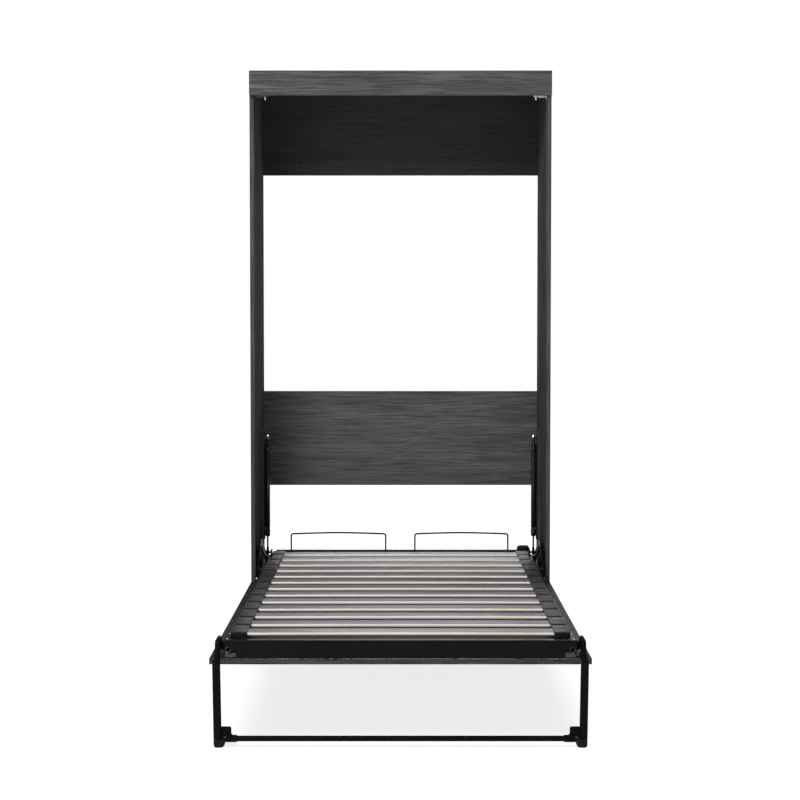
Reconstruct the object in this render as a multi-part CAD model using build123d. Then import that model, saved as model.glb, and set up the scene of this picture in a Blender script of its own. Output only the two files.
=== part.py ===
from build123d import *
import math
import os

# ---------------------------------------------------------------------------
# Upright wall bed with a folding metal frame, shown folded down.
# Millimetres.  Z up.  Origin: floor level, middle of the width, on the plane
# of the wall behind the cabinet.  The bed opens towards -Y, the wall is +Y.
# ---------------------------------------------------------------------------

# cabinet
WIDTH = 1130.0            # outside width of the cabinet
HEIGHT = 2190.0           # outside height
DEPTH = 495.0             # depth of the side panels
BOARD = 16.0              # side, top and base boards
FRONT_T = 18.0            # header board and bed front
HEADER_H = 91.0
BACK_T = 15.0
UPPER_BACK_Z = 1836.0     # lower edge of the upper back board
LOWER_BACK_Z0 = 594.0
LOWER_BACK_Z1 = 973.0
BASE_BACK_H = 100.0
TOE_H = 70.0
WALL_HOLE_X = 400.0       # wall screw columns: -X, 0, +X
WALL_HOLE_Z = (1890.0, 2060.0)
WALL_HOLE_R = 3.0

# bed, folded down
PIVOT_Y = -386.0
PIVOT_Z = 381.0
FOOT_Y = -2070.0          # foot edge of the bed front and of the frame
HEAD_Y = -89.0            # head end of the frame
PANEL_Z = 254.0           # under side of the bed front
RAIL_Z0 = PANEL_Z + FRONT_T
RAIL_Z1 = 326.0
HEAD_Z1 = 343.0           # the head rail stands higher than the side rails
RAIL_X = 520.0            # half width outside the frame
RAIL_W = 25.0
RAIL_WALL = 2.0
CAP_T = 3.0

# slats
SLAT_N = 13
SLAT_PITCH = 150.0
SLAT_FIRST = -210.0       # front edge of the slat nearest the head
SLAT_W = 80.0
SLAT_T = 10.5
SLAT_Z = 327.3
SLAT_HALF = 485.0
HOLDER_X0 = 457.0
HOLDER_X1 = 506.0
HOLDER_FRONT = 8.0
HOLDER_BACK = 130.0
HOLDER_BACK_FIRST = 95.0
HOLDER_TOP = 342.0

# gas springs, open position
SPRING_X = 520.0
SPRING_TOP = (-236.0, 804.0)
SPRING_LOW = (-236.0, 351.0)
CYL_R = 10.0
ROD_R = 4.0
EYE_R = 9.0
EYE_HALF = 6.0

# swing-down leg
LEG_P = (-1997.0, 299.0)  # pivot
LEG_TOP = (-2070.0, 262.0)
LEG_FOOT = (-2034.0, 12.0)
ARM_X0 = 532.0
ARM_X1 = 556.0
NECK_X1 = 548.2
ARM_T = 18.0

os.makedirs("parts", exist_ok=True)
IN_X = WIDTH / 2 - BOARD
FRONT_Y = -DEPTH
FACE_Y = FRONT_Y - FRONT_T


def box(x0, x1, y0, y1, z0, z1):
    x0, x1 = min(x0, x1), max(x0, x1)
    y0, y1 = min(y0, y1), max(y0, y1)
    return Pos((x0 + x1) / 2, (y0 + y1) / 2, (z0 + z1) / 2) * Box(x1 - x0, y1 - y0, z1 - z0)


def cyl_x(x0, x1, y, z, r):
    x0, x1 = min(x0, x1), max(x0, x1)
    return Pos((x0 + x1) / 2, y, z) * Rot(0, 90, 0) * Cylinder(r, x1 - x0)


def cyl_y(x, y0, y1, z, r):
    y0, y1 = min(y0, y1), max(y0, y1)
    return Pos(x, (y0 + y1) / 2, z) * Rot(90, 0, 0) * Cylinder(r, y1 - y0)


def cyl_z(x, y, z0, z1, r):
    return Pos(x, y, (z0 + z1) / 2) * Cylinder(r, z1 - z0)


def soften(s, r):
    try:
        t = fillet(s.edges(), r)
        if t.is_valid:
            return t
    except Exception:
        pass
    return s


def plate_yz(pts, x0, x1):
    # flat plate outlined in the Y-Z plane, between x0 and x1
    w = Wire.make_polygon([Vector(x0, y, z) for y, z in pts], close=True)
    return Solid.extrude(Face(w), Vector(x1 - x0, 0, 0))


def flip(s):
    return mirror(s, about=Plane.YZ)


def save(name, *solids):
    flat = []
    for s in solids:
        flat += list(s.solids()) if hasattr(s, "solids") else [s]
    c = Compound(flat)
    c.label = name
    export_step(c, f"parts/{name}.step")
    print(f"{name:28s} {len(flat):3d}")


def pair(name, s):
    # the +X piece is the right one, its mirror image the left one
    save(name + "_right", s)
    save(name + "_left", flip(s))


# ---------------------------------------------------------------- cabinet --
side = soften(box(IN_X, WIDTH / 2, FRONT_Y, 0, 0, HEIGHT), 1.0)

# lift channel and pivot plate positions on the side panel, and their screws
CH_Y0, CH_Y1, CH_Z0, CH_Z1 = -252.0, -220.0, 400.0, 839.0
PL_Y0, PL_Y1, PL_Z0, PL_Z1 = -450.0, -232.0, 290.0, 398.0
STEEL = 3.0
ch_screws = [(-236.0, z) for z in (415.0, 560.0, 700.0, 832.0 - 6.0)]
pl_screws = [(-438.0, 302.0), (-438.0, 386.0), (-330.0, 302.0), (-330.0, 386.0), (-246.0, 302.0), (-246.0, 386.0)]
SCREW_R = 2.2
SCREW_L = 13.0
for y, z in ch_screws + pl_screws:
    side -= cyl_x(IN_X - 1, IN_X + SCREW_L + 0.5, y, z, SCREW_R + 0.1)
pair("side_panel", side)

save("top_panel", soften(box(-IN_X, IN_X, FRONT_Y, 0, HEIGHT - BOARD, HEIGHT), 0.8))
save("header_fascia", soften(box(-WIDTH / 2, WIDTH / 2, FACE_Y, FRONT_Y, HEIGHT - HEADER_H, HEIGHT), 1.2))

upper = box(-IN_X, IN_X, -BACK_T, 0, UPPER_BACK_Z, HEIGHT - BOARD)
for x in (-WALL_HOLE_X, 0, WALL_HOLE_X):
    for z in WALL_HOLE_Z:
        upper -= cyl_y(x, -BACK_T - 1, 1, z, WALL_HOLE_R)
save("upper_back_panel", upper)
save("lower_back_panel", soften(box(-IN_X, IN_X, -BACK_T, 0, LOWER_BACK_Z0, LOWER_BACK_Z1), 0.8))
save("bottom_back_rail", box(-IN_X, IN_X, -BOARD, 0, 0, BASE_BACK_H))
save("toe_rail", soften(box(-IN_X, IN_X, FRONT_Y, FRONT_Y + BOARD, 0, TOE_H), 0.8))

# steel channel: web against the side panel, two flanges inwards
web = box(IN_X - STEEL, IN_X, CH_Y0, CH_Y1, CH_Z0, CH_Z1)
ch = web + box(IN_X - 15, IN_X, CH_Y0, CH_Y0 + 2.5, CH_Z0, CH_Z1) + box(IN_X - 18.6, IN_X, CH_Y1 - 2.5, CH_Y1, CH_Z0, CH_Z1)
for y, z in ch_screws:
    ch -= cyl_x(IN_X - STEEL - 1, IN_X + 1, y, z, SCREW_R + 0.3)
ch -= cyl_x(IN_X - STEEL - 1, IN_X + 1, SPRING_TOP[0], SPRING_TOP[1], 5.15)
pair("lift_channel", ch)

pl = box(IN_X - STEEL, IN_X, PL_Y0, PL_Y1, PL_Z0, PL_Z1)
pl = fillet(pl.edges().filter_by(Axis.X), 8)
for y, z in pl_screws:
    pl -= cyl_x(IN_X - STEEL - 1, IN_X + 1, y, z, SCREW_R + 0.3)
pair("pivot_plate", pl)

# pivot pins, fixed on the plates: collar, shaft, retaining head
BR_X0, BR_X1 = 533.0, 538.0
PIN_R = 8.0
pin = cyl_x(527.5, IN_X - STEEL, PIVOT_Y, PIVOT_Z, PIN_R) + cyl_x(527.5, BR_X0 - 0.4, PIVOT_Y, PIVOT_Z, 13.0) + cyl_x(BR_X1 + 0.4, IN_X - STEEL, PIVOT_Y, PIVOT_Z, 13.0)
save("pivot_pins", pin, flip(pin))

# studs that carry the upper ends of the gas springs
stud = cyl_x(512.0, IN_X, *SPRING_TOP, 4.0) + cyl_x(510.0, 513.6, *SPRING_TOP, 6.5) + cyl_x(526.4, 530.0, *SPRING_TOP, 7.0) + cyl_x(IN_X - STEEL, IN_X, *SPRING_TOP, 5.0)
save("spring_studs", stud, flip(stud))

screws = []
for y, z in ch_screws + pl_screws:
    s = cyl_x(IN_X - STEEL, IN_X + SCREW_L, y, z, SCREW_R) + cyl_x(IN_X - STEEL - 2.4, IN_X - STEEL, y, z, 4.6)
    screws += [s, flip(s)]
save("lift_screws", *screws)

# door catches near the top: body on the side panel, upright bolt
BOLT_X, BOLT_Y, BOLT_R = 508.0, -468.0, 4.0
lb = box(516.0, IN_X - 2.5, BOLT_Y - 12, BOLT_Y + 12, 2093.0, 2119.0) + box(IN_X - 2.5, IN_X, BOLT_Y - 17, BOLT_Y + 40, 2086.0, 2126.0)
lb = lb + box(498.0, 516.0, BOLT_Y - 10, BOLT_Y + 10, 2096.0, 2116.0)
lb = lb - cyl_z(BOLT_X, BOLT_Y, 2090.0, 2122.0, BOLT_R + 0.08)
pair("latch_body", lb)
bolt = cyl_z(BOLT_X, BOLT_Y, 2084.0, 2150.0, BOLT_R) + cyl_z(BOLT_X, BOLT_Y, 2150.0, 2158.0, 7.0)
pair("latch_bolt", bolt)

# ------------------------------------------------------------------- bed ---
# bed front: full width, with an open slot at each foot corner for the leg
front = soften(box(-WIDTH / 2, WIDTH / 2, FOOT_Y, FRONT_Y - 2.0, PANEL_Z, RAIL_Z0), 0.8)
SLOT_X0, SLOT_X1, SLOT_Y = 531.5, 558.0, -1982.0
slot = box(SLOT_X0, SLOT_X1, FOOT_Y - 5, SLOT_Y, PANEL_Z - 5, RAIL_Z0 + 5)
front = front - slot - flip(slot)
save("front_panel", front)
# narrow board that carries on from the bed front inside the cabinet
save("lower_front_panel", soften(box(-540, 540, -491.0, -112.0, PANEL_Z, RAIL_Z0), 0.8))

rail = box(RAIL_X - RAIL_W, RAIL_X, FOOT_Y + CAP_T, HEAD_Y - CAP_T, RAIL_Z0, RAIL_Z1)
rail = fillet(rail.edges().filter_by(Axis.Y), 2.5)
rail -= box(RAIL_X - RAIL_W + RAIL_WALL, RAIL_X - RAIL_WALL, FOOT_Y, HEAD_Y, RAIL_Z0 + RAIL_WALL, RAIL_Z1 - RAIL_WALL)
pair("side_rail", rail)


def cross_rail(y0, y1, z1):
    r = box(-(RAIL_X - RAIL_W), RAIL_X - RAIL_W, y0, y1, RAIL_Z0, z1)
    r = fillet(r.edges().filter_by(Axis.X), 2.5)
    return r - box(-RAIL_X, RAIL_X, y0 + RAIL_WALL, y1 - RAIL_WALL, RAIL_Z0 + RAIL_WALL, z1 - RAIL_WALL)


HOOP_Y = HEAD_Y - RAIL_W / 2
HOOP_R = 3.2
HOOPS = ((-439.0, -56.0), (54.0, 431.0))
HOOP_TOP = 407.0         # at the corners; the middle bows up
HOOP_BOW = 6.0
foot_rail = cross_rail(FOOT_Y, FOOT_Y + RAIL_W, RAIL_Z1)
head_rail = cross_rail(HEAD_Y - RAIL_W, HEAD_Y, HEAD_Z1)
for a, b in HOOPS:
    for x in (a + HOOP_R, b - HOOP_R):
        head_rail -= cyl_z(x, HOOP_Y, HEAD_Z1 - 8, HEAD_Z1 + 5, HOOP_R + 0.15)
save("foot_rail", foot_rail)
save("head_rail", head_rail)

cap = box(RAIL_X - RAIL_W, RAIL_X, FOOT_Y, FOOT_Y + CAP_T, RAIL_Z0, RAIL_Z1)
cap_hole = cyl_y(BOLT_X, FOOT_Y - 5, FOOT_Y + 20, 299.0, BOLT_R + 1.5)
cap = fillet(cap.edges().filter_by(Axis.Y), 2.5) - cap_hole
cap2 = box(RAIL_X - RAIL_W, RAIL_X, HEAD_Y - CAP_T, HEAD_Y, RAIL_Z0, RAIL_Z1)
cap2 = fillet(cap2.edges().filter_by(Axis.Y), 2.5)
save("rail_end_caps", cap, flip(cap), cap2, flip(cap2))

# sprung slats and their moulded holders
holders = []
for k in range(SLAT_N):
    y0 = SLAT_FIRST - SLAT_PITCH * k
    slat = soften(box(-SLAT_HALF, SLAT_HALF, y0, y0 + SLAT_W, SLAT_Z, SLAT_Z + SLAT_T), 2.5)
    save(f"slat_{k + 1:02d}", slat)
    # the pads nearly touch each other; the first one stops at the head rail
    ya, yb = y0 - HOLDER_FRONT, y0 + (HOLDER_BACK if k else HOLDER_BACK_FIRST)
    h = box(HOLDER_X0, RAIL_X - RAIL_W, ya, yb, 318.0, HOLDER_TOP) + box(RAIL_X - RAIL_W, HOLDER_X1, ya, yb, RAIL_Z1, HOLDER_TOP)
    try:
        h = fillet(h.edges().filter_by(Axis.Z), 5)
        h = fillet(h.faces().sort_by(Axis.Z)[-1].edges(), 3)
    except Exception:
        pass
    h -= box(HOLDER_X0 - 5, SLAT_HALF + 1.0, y0 - 0.2, y0 + SLAT_W + 0.2, SLAT_Z - 0.2, SLAT_Z + SLAT_T + 0.2)
    if y0 - HOLDER_FRONT < SPRING_LOW[0] < yb + 20:
        # room for the gas spring lug on the rail
        h -= box(501.5, 520, SPRING_LOW[0] - 20.5, SPRING_LOW[0] + 15.5, 300, 400)
    holders.append(h)
save("slat_holders_right", *holders)
save("slat_holders_left", *[flip(h) for h in holders])

# wire hoops that keep the mattress in place at the head
for name, (a, b) in zip(("mattress_hoop_left", "mattress_hoop_right"), HOOPS):
    xa, xb = a + HOOP_R, b - HOOP_R
    zb = HEAD_Z1 - RAIL_WALL
    path = FilletPolyline(
        Vector(xa, HOOP_Y, zb),
        Vector(xa, HOOP_Y, HOOP_TOP),
        Vector((xa + xb) / 2, HOOP_Y, HOOP_TOP + HOOP_BOW),
        Vector(xb, HOOP_Y, HOOP_TOP),
        Vector(xb, HOOP_Y, zb),
        radius=[9, 2600, 9],
    )
    sec = Plane(origin=(xa, HOOP_Y, zb), z_dir=(0, 0, 1)) * Circle(HOOP_R)
    save(name, sweep(sec, path=path))

# pivot brackets: open triangular plate, stood off the rail by two blocks
br = plate_yz([(-560, 280), (-95, 280), (-95, 328), (-366, 420), (-404, 420), (-560, 330)], BR_X0, BR_X1)
br -= plate_yz([(-348, 298), (-150, 298), (-150, 309), (-348, 374)], BR_X0 - 1, BR_X1 + 1)
br -= plate_yz([(-424, 298), (-530, 298), (-530, 316), (-424, 377)], BR_X0 - 1, BR_X1 + 1)
br += cyl_x(BR_X0, BR_X1, PIVOT_Y, PIVOT_Z, 24.0)
br += box(RAIL_X, BR_X0, -150, -97, 282, 324) + box(RAIL_X, BR_X0, -556, -500, 282, 324)
br -= cyl_x(BR_X0 - 1, BR_X1 + 1, PIVOT_Y, PIVOT_Z, PIN_R + 0.05)
bolts = []
for y in (-138.0, -109.0, -544.0, -512.0):
    br -= cyl_x(RAIL_X - 1, BR_X1 + 1, y, 290.0, 4.1)
    bolts.append(cyl_x(RAIL_X, BR_X1, y, 290.0, 4.0) + cyl_x(BR_X1, BR_X1 + 2.6, y, 290.0, 7.0))
pair("pivot_bracket", br)
save("bracket_bolts", *bolts, *[flip(b) for b in bolts])

# lugs on the rails for the lower ends of the gas springs
lug = plate_yz([(-256, RAIL_Z1), (-221, RAIL_Z1), (-221, 346), (-229, 363), (-243, 363), (-256, 346)], 502.0, 508.0)
save("spring_lugs", lug, flip(lug))

# domed guard on the right head corner
guard = Pos(489.5, -90, 343) * Box(51, 44, 34)
guard = fillet(guard.faces().sort_by(Axis.Z)[-1].edges() + guard.edges().filter_by(Axis.Z), 15)
guard -= box(400, RAIL_X - RAIL_W + 0.3, HEAD_Y - RAIL_W - 0.3, HEAD_Y + 0.3, 300, HEAD_Z1 + 0.3)
save("head_corner_guard", guard)

# hinge studs for the leg
hs = cyl_x(RAIL_X, NECK_X1 - 0.5, *LEG_P, 6.0) + cyl_x(RAIL_X, ARM_X0 - 0.4, *LEG_P, 15.0)
save("leg_hinge_studs", hs, flip(hs))

# ------------------------------------------------------------------- leg ---
cx = (ARM_X0 + ARM_X1) / 2
path = FilletPolyline(
    Vector(cx, LEG_P[0] + 2, LEG_P[1] - 4),
    Vector(cx, -2020.0, 324.0),
    Vector(cx, -2052.0, 324.0),
    Vector(cx, *LEG_TOP),
    Vector(cx, LEG_FOOT[0] + 2.5, LEG_FOOT[1] - 17),
    radius=[14, 18, 40],
)
t0 = path % 0
sec = Plane(origin=path @ 0, x_dir=(1, 0, 0), z_dir=t0) * RectangleRounded(ARM_X1 - ARM_X0, ARM_T, 6)
arm = sweep(sec, path=path)
arm += cyl_x(ARM_X0, ARM_X1, *LEG_P, 13.0)
# the neck is thinner, so that it passes inside the side panel
wedge = Solid.extrude(Face(Wire.make_polygon([Vector(NECK_X1, -2200, 271), Vector(ARM_X1 + 6, -2200, 257), Vector(ARM_X1 + 6, -2200, 360), Vector(NECK_X1, -2200, 360)], close=True)), Vector(0, 300, 0))
arm -= wedge
arm -= cyl_x(ARM_X0 - 1, ARM_X1 + 1, *LEG_P, 6.05)
# rounded shoulder at the top of the hook
top_r, top_z = 15.0, 333.2
shoulder = box(NECK_X1 - top_r, NECK_X1 + 20, -2200, -1900, top_z - top_r, top_z + 20) - cyl_y(NECK_X1 - top_r, -2210, -1890, top_z - top_r, top_r)
arm -= shoulder
FOOT_TOP = 26.0
arm -= box(500, 600, -2100, -1950, -60, FOOT_TOP)
pair("leg_arm", arm)

# foot: rounded block under each arm
foot = Pos(538.1, -2035.0, FOOT_TOP / 2) * Box(35.6, 30, FOOT_TOP)
foot = fillet(foot.edges().filter_by(Axis.Z), 12)
foot = fillet(foot.faces().sort_by(Axis.Z)[0].edges(), 10)
save("leg_feet", foot, flip(foot))

BAR_Y, BAR_Z, BAR_R = -2041.0, 27.0, 8.5
bar = Pos(0, BAR_Y, BAR_Z) * Rot(0, 90, 0) * Cylinder(BAR_R, 2 * 494)
bar = bar + box(486, 519.8, BAR_Y - 3, BAR_Y + 3, BAR_Z - 10.5, BAR_Z + 10.5) + box(-519.8, -486, BAR_Y - 3, BAR_Y + 3, BAR_Z - 10.5, BAR_Z + 10.5)
for s in (-1, 1):
    bar -= cyl_y(s * 509, BAR_Y - 20, BAR_Y + 20, BAR_Z, 3.1)
save("leg_crossbar", bar)
tab = box(503, ARM_X0, BAR_Y + 3, BAR_Y + 7, 30, 62)
tab = fillet(tab.edges().filter_by(Axis.Y).sort_by(Axis.Z)[-2:].sort_by(Axis.X)[:1], 6)
tab += box(500, 519.8, BAR_Y + 3, BAR_Y + 7, 17, 40)
tab -= cyl_y(509, BAR_Y - 20, BAR_Y + 20, BAR_Z, 3.1)
save("crossbar_tabs", tab, flip(tab))
tb = cyl_y(509, BAR_Y - 3, BAR_Y + 7, BAR_Z, 3.0) + cyl_y(509, BAR_Y - 6.5, BAR_Y - 3, BAR_Z, 5.5) + cyl_y(509, BAR_Y + 7, BAR_Y + 11, BAR_Z, 5.0)
save("crossbar_bolts", tb, flip(tb))

# ----------------------------------------------------------- gas springs ---
TY, TZ = SPRING_TOP
PY, PZ = SPRING_LOW
CYL_TOP, CYL_BOT = TZ - 24.0, 413.0
c = cyl_z(SPRING_X, TY, CYL_BOT, CYL_TOP, CYL_R)
c = fillet(c.edges(), 2.0)
c -= cyl_z(SPRING_X, TY, CYL_BOT + 14, CYL_TOP - 8, CYL_R - 1.5)
c -= cyl_z(SPRING_X, TY, CYL_BOT - 1, CYL_BOT + 15, ROD_R + 0.08)
c += cyl_z(SPRING_X, TY, CYL_TOP, TZ - 5, 5.0)
c += cyl_x(SPRING_X - EYE_HALF, SPRING_X + EYE_HALF, TY, TZ, EYE_R)
c -= cyl_x(SPRING_X - 20, SPRING_X + 20, TY, TZ, 4.06)
pair("gas_cylinder", c)

r = cyl_z(SPRING_X, PY, PZ + 5, 600.0, ROD_R) + cyl_z(SPRING_X, PY, 590.0, 600.0, CYL_R - 1.7)
r += cyl_x(SPRING_X - EYE_HALF, SPRING_X + EYE_HALF, PY, PZ, EYE_R)
r += cyl_x(508.4, SPRING_X + EYE_HALF + 3.0, PY, PZ, 4.0)
r += cyl_z(SPRING_X, PY, PZ + 5, PZ + 20, 5.5)
pair("gas_rod", r)
print("done")
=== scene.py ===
import bpy, bmesh, math, random
from mathutils import Vector, Matrix


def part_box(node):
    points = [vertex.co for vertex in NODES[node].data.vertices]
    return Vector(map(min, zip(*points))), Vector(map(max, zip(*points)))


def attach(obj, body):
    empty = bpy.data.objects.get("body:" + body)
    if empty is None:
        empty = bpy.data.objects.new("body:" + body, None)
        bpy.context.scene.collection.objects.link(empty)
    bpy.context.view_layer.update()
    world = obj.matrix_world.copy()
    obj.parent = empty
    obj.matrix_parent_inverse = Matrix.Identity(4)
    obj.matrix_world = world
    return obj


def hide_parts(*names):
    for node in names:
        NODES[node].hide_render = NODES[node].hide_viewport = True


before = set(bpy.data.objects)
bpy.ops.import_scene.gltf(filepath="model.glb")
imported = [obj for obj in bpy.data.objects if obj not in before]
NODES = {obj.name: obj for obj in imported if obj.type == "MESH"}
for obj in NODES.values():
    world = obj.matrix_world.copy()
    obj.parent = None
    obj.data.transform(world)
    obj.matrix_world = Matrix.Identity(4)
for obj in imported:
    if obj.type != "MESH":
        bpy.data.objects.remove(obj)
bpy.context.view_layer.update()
RND = random.Random(7)
MM = 0.001


# ------------------------------------------------------------ materials ----
def new_mat(name):
    m = bpy.data.materials.new(name)
    m.use_nodes = True
    nt = m.node_tree
    nt.nodes.clear()
    out = nt.nodes.new("ShaderNodeOutputMaterial")
    p = nt.nodes.new("ShaderNodeBsdfPrincipled")
    nt.links.new(p.outputs[0], out.inputs[0])
    return m, nt, p


def node(nt, kind, **kw):
    n = nt.nodes.new("ShaderNode" + kind)
    for k, v in kw.items():
        if hasattr(n, k):
            setattr(n, k, v)
        else:
            n.inputs[k].default_value = v
    return n


def coords(nt, scale=(1, 1, 1), loc=(0, 0, 0)):
    tc = nt.nodes.new("ShaderNodeTexCoord")
    mp = nt.nodes.new("ShaderNodeMapping")
    mp.inputs["Scale"].default_value = scale
    mp.inputs["Location"].default_value = loc
    nt.links.new(tc.outputs["Object"], mp.inputs["Vector"])
    return mp.outputs[0]


def noise(nt, vec, scale=1.0, detail=6.0, rough=0.6, dist=0.0):
    n = nt.nodes.new("ShaderNodeTexNoise")
    n.inputs["Scale"].default_value = scale
    n.inputs["Detail"].default_value = detail
    n.inputs["Roughness"].default_value = rough
    n.inputs["Distortion"].default_value = dist
    nt.links.new(vec, n.inputs["Vector"])
    return n.outputs["Fac"]


def ramp(nt, fac, stops):
    r = nt.nodes.new("ShaderNodeValToRGB")
    el = r.color_ramp.elements
    while len(el) < len(stops):
        el.new(0.5)
    for e, (pos, col) in zip(el, stops):
        e.position = pos
        e.color = (*col, 1) if len(col) == 3 else col
    nt.links.new(fac, r.inputs[0])
    return r.outputs[0]


def mixc(nt, fac, a, b, mode="MIX"):
    m = nt.nodes.new("ShaderNodeMix")
    m.data_type = "RGBA"
    m.blend_type = mode
    for sock, v in ((m.inputs[0], fac), (m.inputs[6], a), (m.inputs[7], b)):
        if hasattr(v, "links"):
            nt.links.new(v, sock)
        elif isinstance(v, (int, float)):
            sock.default_value = v
        else:
            sock.default_value = (*v, 1)
    return m.outputs[2]


def math_(nt, op, a, b=0.0, clamp=False):
    m = nt.nodes.new("ShaderNodeMath")
    m.operation = op
    m.use_clamp = clamp
    for i, v in enumerate((a, b)):
        if hasattr(v, "links"):
            nt.links.new(v, m.inputs[i])
        else:
            m.inputs[i].default_value = v
    return m.outputs[0]


def bump(nt, p, height, strength, distance=0.001, prev=None):
    b = nt.nodes.new("ShaderNodeBump")
    b.inputs["Strength"].default_value = strength
    b.inputs["Distance"].default_value = distance
    nt.links.new(height, b.inputs["Height"])
    if prev is not None:
        nt.links.new(prev, b.inputs["Normal"])
    nt.links.new(b.outputs[0], p.inputs["Normal"])
    return b.outputs[0]


def warped(nt, scale, loc, amount=0.022, freq=2.2):
    # object coordinates pushed about by a slow noise, so that the grain waves
    tc = nt.nodes.new("ShaderNodeTexCoord")
    n = nt.nodes.new("ShaderNodeTexNoise")
    n.inputs["Scale"].default_value = freq
    n.inputs["Detail"].default_value = 2.0
    nt.links.new(tc.outputs["Object"], n.inputs["Vector"])
    sub = nt.nodes.new("ShaderNodeVectorMath")
    sub.operation = "MULTIPLY_ADD"
    sub.inputs[1].default_value = (amount,) * 3
    nt.links.new(n.outputs["Color"], sub.inputs[0])
    nt.links.new(tc.outputs["Object"], sub.inputs[2])
    mp = nt.nodes.new("ShaderNodeMapping")
    mp.inputs["Scale"].default_value = scale
    mp.inputs["Location"].default_value = loc
    nt.links.new(sub.outputs[0], mp.inputs["Vector"])
    return mp.outputs[0]


def laminate(name, axis, tone=1.0, seed=0.0, spec=0.3, contrast=1.0, tint=(1.0, 1.0, 1.0)):
    # dark wood-grain foil: the grain runs along `axis`
    m, nt, p = new_mat(name)
    i = "XYZ".index(axis)
    s1, s2, s3 = [16.0] * 3, [185.0] * 3, [400.0] * 3
    s1[i], s2[i], s3[i] = 1.1, 6.0, 11.0
    a = noise(nt, warped(nt, s1, (seed, seed * 1.7, seed * 0.6)), 1.0, 4.0, 0.55, 0.6)
    b = noise(nt, warped(nt, s2, (seed * 2, seed, seed)), 1.0, 4.0, 0.62, 0.5)
    c = noise(nt, warped(nt, s3, (seed, seed * 3, seed)), 1.0, 3.0, 0.6, 0.2)
    t = [tone * v for v in tint]
    k = contrast
    lo, mid, hi = 0.052 - 0.014 * k, 0.052, 0.052 + 0.018 * k
    col = ramp(nt, a, [(0.32, tuple(lo * v for v in t)), (0.50, tuple(mid * v for v in t)), (0.70, tuple(hi * v for v in t))])
    streak = ramp(nt, b, [(0.36, (1 - 0.50 * k,) * 3), (0.48, (1.0,) * 3), (0.66, (1 + 0.60 * k,) * 3)])
    col = mixc(nt, 1.0, col, streak, "MULTIPLY")
    pores = ramp(nt, c, [(0.34, (1 - 0.50 * k,) * 3), (0.47, (1.0,) * 3)])
    col = mixc(nt, 0.9, col, pores, "MULTIPLY")
    nt.links.new(col, p.inputs["Base Color"])
    r = ramp(nt, b, [(0.3, (0.64,) * 3), (0.7, (0.46,) * 3)])
    nt.links.new(r, p.inputs["Roughness"])
    p.inputs["Specular IOR Level"].default_value = spec
    h = math_(nt, "ADD", math_(nt, "MULTIPLY", b, 0.6), math_(nt, "MULTIPLY", c, 0.5))
    bump(nt, p, h, 0.35 * k, 0.0006)
    return m


def powder(name, col=(0.012, 0.012, 0.0135), rough=(0.30, 0.46), grain=0.25, spec=0.5):
    m, nt, p = new_mat(name)
    a = noise(nt, coords(nt, (9, 9, 9)), 1.0, 4.0, 0.6)
    f = noise(nt, coords(nt, (900, 900, 900)), 1.0, 2.0, 0.5)
    nt.links.new(ramp(nt, a, [(0.3, tuple(c * 0.8 for c in col)), (0.7, tuple(c * 1.35 for c in col))]), p.inputs["Base Color"])
    nt.links.new(ramp(nt, a, [(0.3, (rough[0],) * 3), (0.7, (rough[1],) * 3)]), p.inputs["Roughness"])
    p.inputs["Specular IOR Level"].default_value = spec
    bump(nt, p, f, grain, 0.00025)
    return m


def plastic(name, col=(0.024, 0.024, 0.027), rough=(0.46, 0.60)):
    m, nt, p = new_mat(name)
    a = noise(nt, coords(nt, (26, 26, 26)), 1.0, 4.0, 0.6)
    f = noise(nt, coords(nt, (1300, 1300, 1300)), 1.0, 2.0, 0.5)
    nt.links.new(ramp(nt, a, [(0.3, tuple(c * 0.78 for c in col)), (0.7, tuple(c * 1.3 for c in col))]), p.inputs["Base Color"])
    nt.links.new(ramp(nt, a, [(0.3, (rough[0],) * 3), (0.7, (rough[1],) * 3)]), p.inputs["Roughness"])
    p.inputs["Specular IOR Level"].default_value = 0.14
    bump(nt, p, f, 0.4, 0.0003)
    return m


def metal(name, col, rough, axis="Z"):
    m, nt, p = new_mat(name)
    i = "XYZ".index(axis)
    s = [700.0] * 3
    s[i] = 18.0
    a = noise(nt, coords(nt, s), 1.0, 3.0, 0.6)
    b = noise(nt, coords(nt, (60, 60, 60)), 1.0, 4.0, 0.6)
    nt.links.new(ramp(nt, b, [(0.3, tuple(c * 0.82 for c in col)), (0.7, tuple(min(1, c * 1.1) for c in col))]), p.inputs["Base Color"])
    nt.links.new(ramp(nt, b, [(0.3, (rough * 0.8,) * 3), (0.7, (rough * 1.35,) * 3)]), p.inputs["Roughness"])
    p.inputs["Metallic"].default_value = 1.0
    bump(nt, p, a, 0.12, 0.0002)
    return m


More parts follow.
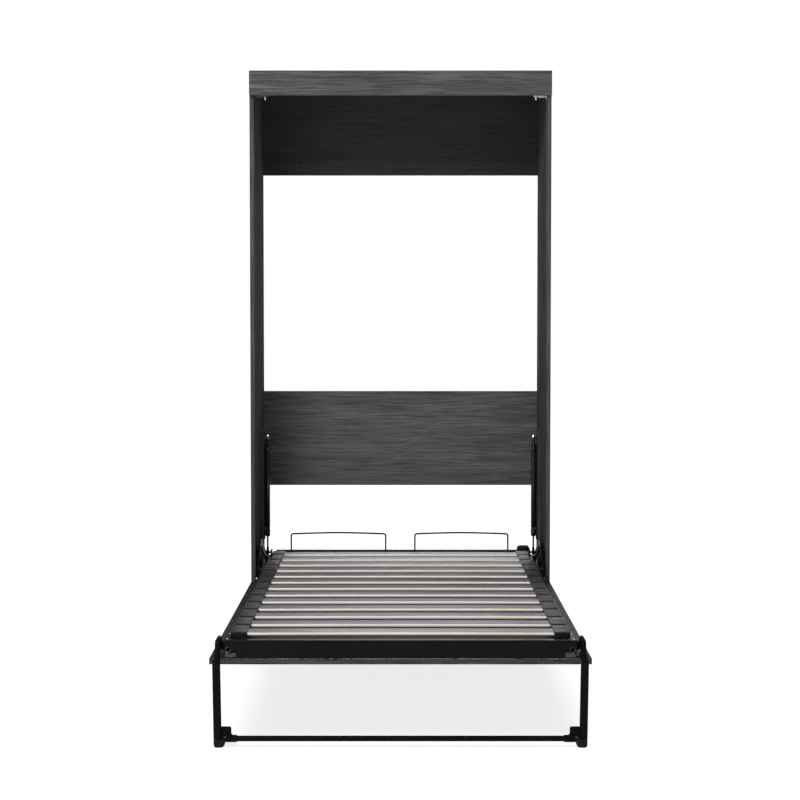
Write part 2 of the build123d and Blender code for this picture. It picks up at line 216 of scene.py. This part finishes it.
def birch(name):
    # laminated birch: pale ply layers on the long edges; the tops are painted a darker grey as painted shade, with a
    # lavender cast as painted reflection
    m, nt, p = new_mat(name)
    g = noise(nt, coords(nt, (2.6, 75, 20)), 1.0, 6.0, 0.6, 0.6)
    fine = noise(nt, coords(nt, (9, 520, 60)), 1.0, 3.0, 0.6)
    big = noise(nt, coords(nt, (2.2, 4.5, 1.0)), 1.0, 2.0, 0.5)
    slow = noise(nt, coords(nt, (1.6, 9.0, 1.0), (3.0, 7.0, 0.0)), 1.0, 2.0, 0.5)
    top = ramp(nt, g, [(0.30, (0.088, 0.078, 0.098)), (0.52, (0.142, 0.128, 0.150)), (0.75, (0.205, 0.190, 0.200))])
    # lavender-to-pale patches multiplied into the top colour: painted reflection
    top = mixc(nt, 1.0, top, ramp(nt, slow, [(0.34, (0.70, 0.60, 0.86)), (0.50, (1.0, 0.97, 1.02)), (0.66, (1.35, 1.34, 1.24))]), "MULTIPLY")
    top = mixc(nt, 0.55, top, ramp(nt, fine, [(0.35, (0.72, 0.70, 0.69)), (0.6, (1.08, 1.08, 1.08))]), "MULTIPLY")
    side = ramp(nt, g, [(0.30, (0.86, 0.82, 0.75)), (0.52, (0.93, 0.90, 0.84)), (0.75, (0.98, 0.96, 0.92))])
    side = mixc(nt, 0.8, side, ramp(nt, big, [(0.36, (1.0, 0.93, 0.90)), (0.5, (1, 1, 1)), (0.64, (0.94, 0.98, 0.84))]), "MULTIPLY")
    tc = nt.nodes.new("ShaderNodeTexCoord")
    sx = nt.nodes.new("ShaderNodeSeparateXYZ")
    nt.links.new(tc.outputs["Object"], sx.inputs[0])
    # darker, yellower towards the bottom of the edge
    zz = math_(nt, "DIVIDE", math_(nt, "SUBTRACT", sx.outputs[2], 0.3273), 0.0110, True)
    side = mixc(nt, 1.0, side, ramp(nt, zz, [(0.0, (0.52, 0.50, 0.32)), (0.22, (0.78, 0.76, 0.54)), (0.40, (1.0, 1.0, 1.0))]), "MULTIPLY")
    w = math_(nt, "SINE", math_(nt, "MULTIPLY", sx.outputs[2], 2 * math.pi / 0.0017))
    side = mixc(nt, 0.25, side, ramp(nt, math_(nt, "ADD", math_(nt, "MULTIPLY", w, 0.5), 0.5), [(0.0, (0.62, 0.52, 0.40)), (0.35, (1, 1, 1))]), "MULTIPLY")
    sn = nt.nodes.new("ShaderNodeSeparateXYZ")
    nt.links.new(tc.outputs["Normal"], sn.inputs[0])
    # the normal picks the grey top or the pale edge colour, so the darker tops are painted shade
    f = ramp(nt, math_(nt, "ABSOLUTE", sn.outputs[2]), [(0.86, (0, 0, 0)), (0.96, (1, 1, 1))])
    nt.links.new(mixc(nt, f, side, top), p.inputs["Base Color"])
    nt.links.new(ramp(nt, fine, [(0.3, (0.52,) * 3), (0.7, (0.40,) * 3)]), p.inputs["Roughness"])
    p.inputs["Specular IOR Level"].default_value = 0.2
    bump(nt, p, fine, 0.25, 0.0004)
    return m


LAM = {
    "side": laminate("laminate_side", "Z", 1.25, 1.3, 0.0),
    "board": laminate("laminate_board", "X", 0.95, 4.1, 0.12),
    # darker, low-contrast, bluish copy of the laminate for the upper back panel: painted shade under the header
    "upper": laminate("laminate_upper_back_painted_shade", "X", 0.80, 4.1, 0.10, 0.38, (0.98, 0.95, 1.10)),
    # lighter copy for the lower back panel: painted light standing in for the sheen on it
    "lower": laminate("laminate_lower_back_painted_sheen", "X", 1.55, 3.3, 0.40, 0.85, (1.02, 0.99, 1.01)),
    "header": laminate("laminate_header", "X", 1.22, 8.6, 0.25, 1.0, (1.0, 0.99, 1.02)),
    "front": laminate("laminate_front", "X", 1.1, 2.7, 0.10),
    # dark copy for the upper face of the door front: painted shade
    "inner_painted_shade": laminate("laminate_door_inside_painted_shade", "X", 0.42, 2.7, 0.05),
    "edge": laminate("laminate_edge", "Z", 1.15, 5.5, 0.20, 0.8),
    # very light copy for the top face of the lower back panel: painted highlight along that edge
    "edge_x": laminate("laminate_top_edge_painted_highlight", "X", 2.1, 6.5, 0.30),
    # very light copy for the broken strip on the foot edge: painted highlight
    "band": laminate("painted_edge_highlight", "X", 4.2, 9.5, 0.30, 1.0),
}
STEEL = powder("black_powder_coat", (0.0042, 0.0040, 0.0052), (0.36, 0.52), 0.25, 0.045)
STEEL_GLOSS = powder("black_gloss_enamel", (0.0038, 0.0033, 0.0048), (0.14, 0.24), 0.10, 0.065)
STEEL_SHINE = powder("black_polished", (0.006, 0.006, 0.007), (0.08, 0.14), 0.04, 0.8)
# lift channels: a grey far lighter than the black steel, painted light standing in for their lit inner faces
STEEL_CHAN_PAINTED_LIGHT = powder("satin_channel_painted_light", (0.046, 0.046, 0.051), (0.34, 0.46), 0.15, 0.30)
TUBE = powder("gas_spring_tube", (0.0135, 0.0135, 0.0150), (0.20, 0.30), 0.06, 0.45)
PLAST = plastic("holder_plastic", (0.026, 0.025, 0.031))
# darker copy of the holder plastic for the upright cheeks: painted shade
PLAST_PAINTED_SHADE = plastic("holder_plastic_painted_shade", (0.0110, 0.0105, 0.0140), (0.60, 0.72))
RUBBER = plastic("moulded_rubber", (0.0065, 0.0065, 0.0070), (0.50, 0.66))
# dull zinc: the spring studs' finish, and painted shade on the left catch housing
ZINC_DULL_AND_SHADE = metal("dull_zinc_and_painted_shade", (0.085, 0.085, 0.092), 0.46)
ZINC = metal("zinc_plate", (0.62, 0.62, 0.64), 0.30)
CHROME = metal("polished_rod", (0.80, 0.80, 0.83), 0.12)
BIRCH = birch("birch_slat")


def paint(name, mat):
    o = NODES[name]
    o.data.materials.clear()
    o.data.materials.append(mat)


def paint_faces(name, mats, pick):
    o = NODES[name]
    o.data.materials.clear()
    for m in mats:
        o.data.materials.append(m)
    for f in o.data.polygons:
        f.material_index = pick(f)


# ------------------------------------------------------------- geometry ----
def add_obj(name, bm, mat, body, replaces=(), smooth=True, angle=35):
    me = bpy.data.meshes.new(name)
    bmesh.ops.recalc_face_normals(bm, faces=bm.faces)
    if smooth:
        for f in bm.faces:
            f.smooth = True
        lim = math.radians(angle)
        for e in bm.edges:
            if len(e.link_faces) == 2 and e.calc_face_angle(0) > lim:
                e.smooth = False
    bm.to_mesh(me)
    bm.free()
    o = bpy.data.objects.new(name, me)
    bpy.context.scene.collection.objects.link(o)
    for m in mat if isinstance(mat, (list, tuple)) else [mat]:
        me.materials.append(m)
    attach(o, body)
    if replaces:
        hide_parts(*replaces)
    return o


def rbox(bm, lo, hi, r=0.001, seg=2, mat=0, keep=None):
    # box with rounded edges, added to bm
    lo, hi = Vector(lo), Vector(hi)
    ret = bmesh.ops.create_cube(bm, size=1.0)
    vs = ret["verts"]
    c, s = (lo + hi) / 2, hi - lo
    for v in vs:
        v.co = Vector((c[i] + v.co[i] * s[i] for i in range(3)))
    es = list({e for v in vs for e in v.link_edges})
    if keep:
        es = [e for e in es if keep(e)]
    if r > 0:
        bmesh.ops.bevel(bm, geom=es, offset=r, segments=seg, profile=0.5, affect="EDGES")
    return vs


def lathe(bm, prof, origin, axis, n=32, mat=0, caps=True):
    # prof: [(distance along axis, radius)]
    origin, axis = Vector(origin), Vector(axis).normalized()
    t = Vector((0, 0, 1)) if abs(axis.z) < 0.9 else Vector((1, 0, 0))
    u = axis.cross(t).normalized()
    w = axis.cross(u)
    rings = []
    for d, r in prof:
        if r < 1e-7:
            rings.append([bm.verts.new(origin + axis * d)])
        else:
            rings.append([bm.verts.new(origin + axis * d + (u * math.cos(2 * math.pi * k / n) + w * math.sin(2 * math.pi * k / n)) * r) for k in range(n)])
    for a, b in zip(rings, rings[1:]):
        for k in range(n):
            k2 = (k + 1) % n
            if len(a) == 1 and len(b) == 1:
                continue
            if len(a) == 1:
                f = bm.faces.new((a[0], b[k], b[k2]))
            elif len(b) == 1:
                f = bm.faces.new((a[k], b[0], a[k2]))
            else:
                f = bm.faces.new((a[k], b[k], b[k2], a[k2]))
            f.material_index = mat
    for ring, flip in ((rings[0], True), (rings[-1], False)):
        if len(ring) > 1 and caps:
            f = bm.faces.new(ring[::-1] if flip else ring)
            f.material_index = mat


def mm(*v):
    return tuple(x * MM for x in v)


def centre(n):
    a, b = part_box(n)
    return (a + b) / 2


# laminate boards keep their CAD shape
for n in ("side_panel_left", "side_panel_right"):
    paint_faces(n, [LAM["side"], LAM["edge"]], lambda f: 1 if f.normal.y < -0.5 else 0)
for n in ("top_panel", "lower_front_panel", "bottom_back_rail", "toe_rail"):
    paint(n, LAM["board"])
# the upper back panel takes the painted-shade copy of the laminate
paint("upper_back_panel", LAM["upper"])
# lower back panel: a lighter copy on its faces as painted light for the sheen, and a very light copy on its top faces
# as a painted highlight
paint_faces("lower_back_panel", [LAM["lower"], LAM["edge_x"]], lambda f: 1 if f.normal.z > 0.5 else 0)
paint("header_fascia", LAM["header"])
# the door front's upper face takes the dark painted-shade copy
paint_faces("front_panel", [LAM["front"], LAM["board"], LAM["inner_painted_shade"]], lambda f: 1 if abs(f.normal.z) < 0.5 else (2 if f.normal.z > 0 else 0))

for n in ("side_rail_left", "side_rail_right", "head_rail", "lift_channel_left", "lift_channel_right", "pivot_plate_left", "pivot_plate_right",
          "mattress_hoop_left", "mattress_hoop_right", "pivot_bracket_left", "pivot_bracket_right", "spring_lugs",
          "pivot_pins", "crossbar_bolts", "leg_hinge_studs", "leg_arm_left", "leg_arm_right", "leg_crossbar", "crossbar_tabs"):
    paint(n, STEEL)
paint("foot_rail", STEEL_GLOSS)
for n in ("gas_cylinder_left", "gas_cylinder_right"):
    paint(n, STEEL_GLOSS)
for n in ("gas_rod_left", "gas_rod_right"):
    paint(n, CHROME)
paint("spring_studs", ZINC_DULL_AND_SHADE)
for n in ("lift_screws", "bracket_bolts", "latch_body_left", "latch_body_right", "latch_bolt_left", "latch_bolt_right"):
    paint(n, ZINC)
for n in ("slat_holders_left", "slat_holders_right"):
    paint(n, PLAST)
paint("rail_end_caps", STEEL_GLOSS)
for n in ("leg_feet", "head_corner_guard"):
    paint(n, RUBBER)

# the lift channels take the lighter painted-light steel
for n in ("lift_channel_left", "lift_channel_right"):
    paint(n, STEEL_CHAN_PAINTED_LIGHT)

# --- slats: gently bowed boards with rounded long edges
for k in range(1, 14):
    n = f"slat_{k:02d}"
    lo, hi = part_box(n)
    bm = bmesh.new()
    nx = 40
    t = hi.z - lo.z
    half = (hi.x - lo.x) / 2
    prof = []
    r = 0.0044
    corners = [(lo.y + r, lo.z + r, math.pi), (hi.y - r, lo.z + r, 1.5 * math.pi), (hi.y - r, hi.z - r, 0.0), (lo.y + r, hi.z - r, 0.5 * math.pi)]
    for cy, cz, a0 in corners:
        for q in range(5):
            a = a0 + q * math.pi / 8
            prof.append((cy + r * math.cos(a), cz + r * math.sin(a)))
    rise = 0.0006 + 0.0006 * RND.random()
    rings = []
    for i in range(nx + 1):
        x = -half + 2 * half * i / nx
        d = rise * (1 - (x / half) ** 2)
        rings.append([bm.verts.new((x, y, z + d)) for y, z in prof])
    m_ = len(prof)
    for a, b in zip(rings, rings[1:]):
        for j in range(m_):
            bm.faces.new((a[j], a[(j + 1) % m_], b[(j + 1) % m_], b[j]))
    bm.faces.new(rings[0][::-1])
    bm.faces.new(rings[-1])
    add_obj(n + "_bowed", bm, BIRCH, "bed", [n], angle=50)

# --- moulded slat holders: one long pad per slat end, hooked over the side rail
for side, sgn in (("left", -1), ("right", 1)):
    bm = bmesh.new()
    for k in range(1, 14):
        slo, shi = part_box(f"slat_{k:02d}")
        ya, yb = slo.y - 0.008, slo.y + (0.094 if k == 1 else 0.121)
        x0, xr, x1 = 0.457, 0.495, 0.506

        def put(xa, xb, y0, y1, za, zb, r=0.0015, seg=2):
            a, b = sorted((sgn * xa, sgn * min(xb, 0.5012 if k == 2 and y1 > -0.2570 else 0.506)))
            rbox(bm, (a, y0, za), (b, y1, zb), r, seg)

        # lower lip and the hook over the rail
        put(x0 + 0.0004, xr - 0.0003, ya, yb, 0.318, slo.z - 0.0004, 0.0015)
        put(xr - 0.006, x1, ya + 0.001, yb - 0.001, 0.3263, slo.z + 0.002, 0.0010)
        # closed end of the pocket and hood over the slat
        put(0.4863, x1, ya, yb, slo.z + 0.0005, 0.3405, 0.0030, 4)
        put(x0 + 0.001, x1 - 0.0005, ya, yb, shi.z + 0.0004, 0.3409, 0.0014, 3)
        put(x0, x0 + 0.005, ya + 0.001, yb - 0.001, shi.z + 0.0004, 0.3418, 0.0012)
        # cheeks in front of and behind the slat
        put(x0 + 0.0008, 0.488, ya, ya + 0.0074, 0.3195, 0.3408, 0.0012)
        put(x0 + 0.0008, 0.488, shi.y + 0.0006, yb, 0.3195, 0.3404, 0.0012)
        # raised ribs on the hood
        put(x0 + 0.010, x1 - 0.006, ya + 0.014, slo.y + 0.036, 0.3398, 0.3418, 0.0014, 3)
        put(x0 + 0.010, x1 - 0.006, slo.y + 0.046, yb - 0.012, 0.3398, 0.3418, 0.0014, 3)
    # the upright cheeks are rougher and painted darker: painted shade on the faces turned to the front and back
    for f in bm.faces:
        f.normal_update()
        f.material_index = 1 if abs(f.normal.y) > 0.6 else 0
    add_obj("slat_holder_row_" + side, bm, [PLAST, PLAST_PAINTED_SHADE], "bed", ["slat_holders_" + side])


# --- screws and bolts
def screw_head(bm, base, axis, r, h, dome=True, recess="cross"):
    axis = Vector(axis).normalized()
    base = Vector(base)
    prof = [(0.0, r * 0.98), (h * 0.30, r), (h * 0.62, r * 0.90), (h * 0.86, r * 0.66), (h, r * 0.42), (h * 0.97, r * 0.30), (h * 0.45, r * 0.16), (h * 0.42, 0.0)]
    lathe(bm, prof, base, axis, 20)
    t = Vector((0, 0, 1)) if abs(axis.z) < 0.9 else Vector((1, 0, 0))
    u = axis.cross(t).normalized()
    w = axis.cross(u)
    # raised quarters between the arms of the cross
    for q in range(4):
        a = math.pi / 4 + q * math.pi / 2
        d = u * math.cos(a) + w * math.sin(a)
        e = axis.cross(d)
        c = base + axis * h * 0.80 + d * r * 0.36
        vs = [bm.verts.new(c + d * r * x + e * r * y + axis * h * z) for x, y, z in ((-0.16, 0, -0.3), (0.02, -0.17, -0.3), (0.16, 0, -0.3), (0.02, 0.17, -0.3), (-0.12, 0, 0.22), (0.02, -0.13, 0.22), (0.13, 0, 0.17), (0.02, 0.13, 0.22))]
        for idx in ((0, 1, 5, 4), (1, 2, 6, 5), (2, 3, 7, 6), (3, 0, 4, 7), (4, 5, 6, 7), (3, 2, 1, 0)):
            bm.faces.new([vs[i] for i in idx])


IN_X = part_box("side_panel_right")[0].x
bm = bmesh.new()
for s in (-1, 1):
    for y, z in [(-0.236, z) for z in (0.415, 0.560, 0.700, 0.826)] + [(y, z) for y in (-0.438, -0.330, -0.246) for z in (0.302, 0.386)]:
        screw_head(bm, (s * (IN_X - 0.003), y, z), (-s, 0, 0), 0.0046, 0.0024)
        lathe(bm, [(0.0, 0.0022), (0.010, 0.0022), (0.013, 0.0004)], (s * (IN_X - 0.003), y, z), (s, 0, 0), 12)
add_obj("lift_wood_screws", bm, ZINC, "cabinet", ["lift_screws"])

bm = bmesh.new()
for s in (-1, 1):
    for y in (-0.138, -0.109, -0.544, -0.512):
        # hexagon heads on round washers
        lathe(bm, [(0.0, 0.0068), (0.0008, 0.0070), (0.0010, 0.0066)], (s * 0.538, y, 0.290), (s, 0, 0), 24)
        lathe(bm, [(0.0010, 0.0056), (0.0030, 0.0056), (0.0034, 0.0050)], (s * 0.538, y, 0.290), (s, 0, 0), 6)
        lathe(bm, [(0.0, 0.0040), (0.018, 0.0040)], (s * 0.538, y, 0.290), (-s, 0, 0), 16)
add_obj("bracket_hex_bolts", bm, ZINC, "bed", ["bracket_bolts"], angle=30)

# --- gas springs: crimped tube, ball-socket fittings
for side, s in (("left", -1), ("right", 1)):
    lo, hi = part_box("gas_cylinder_" + side)
    cx, cy = s * 0.520, (lo.y + hi.y) / 2
    tz = hi.z - 0.009
    top, bot, R = tz - 0.024, lo.z, 0.010
    bm = bmesh.new()
    # bore for the rod and the piston
    prof = [(top - bot - 0.0085, 0.0), (top - bot - 0.0085, 0.0086), (0.0143, 0.0086), (0.0143, 0.0043), (0, 0.0043), (0, 0.0052), (0.001, 0.0072), (0.0035, 0.0092), (0.008, R), (0.030, R), (0.0318, R - 0.0011), (0.0345, R - 0.0011), (0.0363, R),
            (top - bot - 0.040, R), (top - bot - 0.038, R - 0.0009), (top - bot - 0.035, R - 0.0009), (top - bot - 0.033, R), (top - bot - 0.004, R), (top - bot - 0.001, 0.0082), (top - bot, 0.0062), (top - bot + 0.003, 0.0050), (top - bot + 0.016, 0.0050)]
    lathe(bm, prof, (cx, cy, bot), (0, 0, 1), 36)
    # socket of the top fitting, bored for the stud
    lathe(bm, [(-0.0060, 0.0056), (-0.0060, 0.0062), (-0.0052, 0.0082), (-0.0035, 0.0090), (0.0035, 0.0090), (0.0052, 0.0082), (0.0060, 0.0062), (0.0060, 0.0056), (-0.0060, 0.0056)], (cx, cy, tz), (1, 0, 0), 28, mat=1, caps=False)
    bmesh.ops.remove_doubles(bm, verts=bm.verts, dist=1e-6)
    add_obj("gas_tube_" + side, bm, [TUBE, CHROME], "gas_cylinder_" + side, ["gas_cylinder_" + side])
    rlo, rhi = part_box("gas_rod_" + side)
    pz = rlo.z + 0.009
    bm = bmesh.new()
    lathe(bm, [(0.010, 0.0040), (0.240, 0.0040), (0.2402, 0.0082), (0.2485, 0.0082)], (cx, cy, pz), (0, 0, 1), 24)
    lathe(bm, [(0.004, 0.0056), (0.0185, 0.0056), (0.020, 0.0046)], (cx, cy, pz), (0, 0, 1), 6, mat=1)
    lathe(bm, [(-0.0060, 0.0060), (-0.0052, 0.0082), (-0.0035, 0.0090), (0.0035, 0.0090), (0.0052, 0.0082), (0.0060, 0.0060)], (cx, cy, pz), (1, 0, 0), 28, mat=1)
    xa = s * 0.5084
    lathe(bm, [(0.0, 0.0032), (0.0008, 0.0040), (0.0176, 0.0040), (0.0190, 0.0060), (0.0205, 0.0050)], (xa, cy, pz), (s, 0, 0), 20, mat=1)
    add_obj("gas_piston_rod_" + side, bm, [CHROME, STEEL], "gas_rod_" + side, ["gas_rod_" + side])

# --- six wall holes: dark discs closing them at the back, painted shade for their dark depth
bm = bmesh.new()
for x in (-0.4, 0.0, 0.4):
    for z in (1.890, 2.060):
        lathe(bm, [(0.0, 0.0034), (0.0010, 0.0034)], (x, -0.0030, z), (0, 1, 0), 20)
add_obj("wall_hole_painted_shade", bm, RUBBER, "cabinet")

# --- rivets and corner clips at the foot end of the frame
bm = bmesh.new()
for s_ in (-1, 1):
    for y in (-2.052, -1.962):
        lathe(bm, [(0.0, 0.0034), (0.0006, 0.0036), (0.0014, 0.0030), (0.0020, 0.0018), (0.0022, 0.0)], (s_ * 0.5135, y, 0.3260), (0, 0, 1), 18)
add_obj("frame_rivets", bm, ZINC, "bed")
bm = bmesh.new()
for s_ in (-1, 1):
    a, b = sorted((s_ * 0.486, s_ * 0.518))
    rbox(bm, (a, -2.0722, 0.276), (b, -2.0701, 0.2925), 0.0006, 2)
    lathe(bm, [(0.0, 0.0062), (0.0010, 0.0064), (0.0030, 0.0050), (0.0040, 0.0024), (0.0042, 0.0)], (s_ * 0.5105, -2.0722, 0.2842), (0, -1, 0), 24)
    lathe(bm, [(0.0, 0.0046), (0.0008, 0.0048), (0.0022, 0.0036), (0.0028, 0.0)], (s_ * 0.4935, -2.0722, 0.2842), (0, -1, 0), 24)
    # collar round the catch hole in the end cap
    lathe(bm, [(0.0, 0.0082), (0.0016, 0.0080), (0.0020, 0.0070), (0.0016, 0.0060), (0.0, 0.0058)], (s_ * 0.508, -2.0701, 0.299), (0, -1, 0), 28, caps=False)
add_obj("foot_corner_clips", bm, STEEL_SHINE, "bed")

# painted highlight: a broken light strip along the foot edge of the bed front, where the edge catches the light
bm = bmesh.new()
pts = []
x = -0.528
while x < 0.528:
    w = 0.003 + 0.010 * RND.random()
    if RND.random() > (0.42 if x < -0.34 else 0.12):
        h = 0.0003 + 0.0006 * RND.random()
        rbox(bm, (x, -2.0704, 0.2712 - h), (min(x + w, 0.528), -2.0698, 0.2718), 0.0002, 1)
    x += w + 0.0008 + 0.0026 * RND.random()
add_obj("foot_edge_painted_highlight", bm, LAM["band"], "bed")

# --- moulded feet: a rounded tongue under each arm
bm = bmesh.new()
flo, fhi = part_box("leg_feet")
fy, fz = (flo.y + fhi.y) / 2, fhi.z
for s_ in (-1, 1):
    rings = []
    for q in range(19):
        t = q / 18
        xi, xo = 0.5204 + 0.0135 * t ** 2.4, 0.5558 - 0.0085 * t ** 4.5
        hy = 0.0148 * (1 - 0.42 * t ** 5)
        cx, hx = (xi + xo) / 2, (xo - xi) / 2
        z = fz * (1 - math.sin(t * math.pi / 2))
        if q == 18:
            z = flo.z
        ring = []
        for a in range(40):
            th = 2 * math.pi * a / 40
            c, s2 = math.cos(th), math.sin(th)
            e = 0.52
            ring.append(bm.verts.new((s_ * (cx + hx * math.copysign(abs(c) ** e, c)), fy + hy * math.copysign(abs(s2) ** e, s2), z)))
        rings.append(ring)
    for a, b in zip(rings, rings[1:]):
        for j2 in range(40):
            bm.faces.new((a[j2], a[(j2 + 1) % 40], b[(j2 + 1) % 40], b[j2]))
    bm.faces.new(rings[0][::-1])
    bm.faces.new(rings[-1])
add_obj("leg_foot_pads", bm, RUBBER, "leg", ["leg_feet"])

# --- door catches
for side, s_ in (("left", -1), ("right", 1)):
    blo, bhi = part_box("latch_body_" + side)
    bm = bmesh.new()

    def bx(xa, xb, y0, y1, z0, z1, r=0.0012):
        a, b = sorted((s_ * xa, s_ * xb))
        rbox(bm, (a, y0, z0), (b, y1, z1), r, 3)

    bx(0.5466, 0.5489, -0.485, -0.428, 2.0862, 2.1258, 0.0010)
    bx(0.5165, 0.5475, -0.4795, -0.4565, 2.0935, 2.1185, 0.0020)
    bx(0.4985, 0.5035, -0.4775, -0.4585, 2.0965, 2.1155, 0.0016)
    bx(0.5030, 0.5170, -0.4775, -0.4725, 2.0965, 2.1155, 0.0012)
    bx(0.5030, 0.5170, -0.4635, -0.4585, 2.0965, 2.1155, 0.0012)
    for y, z in ((-0.445, 2.096), (-0.445, 2.116)):
        screw_head(bm, (s_ * 0.5466, y, z), (-s_, 0, 0), 0.0040, 0.0020)
    # the left housing takes the darker dull zinc and the right the bright zinc: the darker left catch is painted shade,
    # the two being the same part
    add_obj("catch_housing_" + side, bm, ZINC_DULL_AND_SHADE if side == "left" else ZINC, "cabinet", ["latch_body_" + side])
    clo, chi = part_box("latch_bolt_" + side)
    bm = bmesh.new()
    cx, cy = (clo.x + chi.x) / 2, (clo.y + chi.y) / 2
    h = chi.z - clo.z
    lathe(bm, [(0.0, 0.0), (0.0004, 0.0018), (0.0020, 0.0032), (0.0050, 0.0040), (h - 0.0080, 0.0040), (h - 0.0078, 0.0062), (h - 0.0070, 0.0070), (h - 0.0010, 0.0070), (h, 0.0060), (h, 0.0)], (cx, cy, clo.z), (0, 0, 1), 28)
    add_obj("catch_bolt_" + side, bm, CHROME, "latch_bolt_" + side, ["latch_bolt_" + side])

# --- broken edges on boards and steel
for n, w in [("side_panel_left", 0.8), ("side_panel_right", 0.8), ("top_panel", 0.6), ("header_fascia", 0.5), ("upper_back_panel", 0.5), ("pivot_bracket_left", 0.6),
             ("pivot_bracket_right", 0.6), ("lift_channel_left", 0.5), ("lift_channel_right", 0.5), ("pivot_plate_left", 0.5), ("pivot_plate_right", 0.5), ("spring_lugs", 0.6),
             ("crossbar_tabs", 0.5)]:
    b = NODES[n].modifiers.new("edges", "BEVEL")
    b.width = w * MM
    b.segments = 2
    b.limit_method = "ANGLE"
    b.angle_limit = math.radians(40)
    b.harden_normals = False

# ---------------------------------------------------------------- stage ----
def plane(name, pts, mat):
    me = bpy.data.meshes.new(name)
    me.from_pydata(pts, [], [tuple(range(len(pts)))])
    o = bpy.data.objects.new(name, me)
    bpy.context.scene.collection.objects.link(o)
    me.materials.append(mat)
    return o


fm, fnt, fp = new_mat("pale_floor")
fn = noise(fnt, coords(fnt, (0.8, 0.8, 0.8)), 1.0, 3.0, 0.5)
fnt.links.new(ramp(fnt, fn, [(0.3, (0.44, 0.44, 0.44)), (0.7, (0.47, 0.47, 0.47))]), fp.inputs["Base Color"])
fp.inputs["Roughness"].default_value = 0.9
fp.inputs["Specular IOR Level"].default_value = 0.0
ftc = fnt.nodes.new("ShaderNodeTexCoord")
flen = fnt.nodes.new("ShaderNodeVectorMath")
flen.operation = "LENGTH"
fnt.links.new(ftc.outputs["Object"], flen.inputs[0])
fd = math_(fnt, "DIVIDE", flen.outputs["Value"], 8.0, True)
flp = fnt.nodes.new("ShaderNodeLightPath")
seen = ramp(fnt, fd, [(0.25, (0.80,) * 3), (0.55, (1.0,) * 3)])
cast = ramp(fnt, fd, [(0.25, (0.60,) * 3), (0.60, (1.0,) * 3)])
fnt.links.new(mixc(fnt, flp.outputs["Is Camera Ray"], cast, seen), fp.inputs["Emission Color"])
fp.inputs["Emission Strength"].default_value = 1.0
plane("floor", [(-14, -12, -0.0005), (14, -12, -0.0005), (14, 16, -0.0005), (-14, 16, -0.0005)], fm)

world = bpy.data.worlds.new("studio")
bpy.context.scene.world = world
world.use_nodes = True
wn = world.node_tree
bg = wn.nodes["Background"]
bg.inputs[0].default_value = (1, 1, 1, 1)
lp = wn.nodes.new("ShaderNodeLightPath")
wm = wn.nodes.new("ShaderNodeMapRange")
wm.inputs["To Min"].default_value = 0.10
wm.inputs["To Max"].default_value = 1.0
wn.links.new(lp.outputs["Is Camera Ray"], wm.inputs["Value"])
wn.links.new(wm.outputs[0], bg.inputs[1])


def area(name, loc, aim, size, power, col=(1, 1, 1), size_y=None):
    l = bpy.data.lights.new(name, "AREA")
    l.energy = power
    l.color = col
    l.size = size
    if size_y:
        l.shape = "RECTANGLE"
        l.size_y = size_y
    o = bpy.data.objects.new(name, l)
    o.location = loc
    o.rotation_mode = "QUATERNION"
    o.rotation_quaternion = (Vector(aim) - Vector(loc)).to_track_quat("-Z", "Y")
    bpy.context.scene.collection.objects.link(o)
    return o


area("key", (-2.0, -5.6, 5.0), (0, -0.6, 0.9), 1.8, 215)
area("fill", (-3.0, -6.6, 2.0), (0, -0.8, 0.8), 2.4, 34)
area("top", (0.3, -1.6, 5.0), (0, -1.2, 0.2), 2.6, 120)
area("back", (0.2, 2.6, 2.2), (0, -1.2, 0.3), 1.6, 60)

cam_d = bpy.data.cameras.new("camera")
cam = bpy.data.objects.new("camera", cam_d)
bpy.context.scene.collection.objects.link(cam)
cam.location = (0.0, -7.592, 1.2986)
cam.rotation_euler = (math.pi / 2 - 0.04768, 0, 0)
cam_d.sensor_width = 36.0
cam_d.lens = 84.90
cam_d.shift_x = -0.00066
cam_d.clip_end = 100
bpy.context.scene.camera = cam
bpy.context.scene.view_settings.view_transform = "Standard"
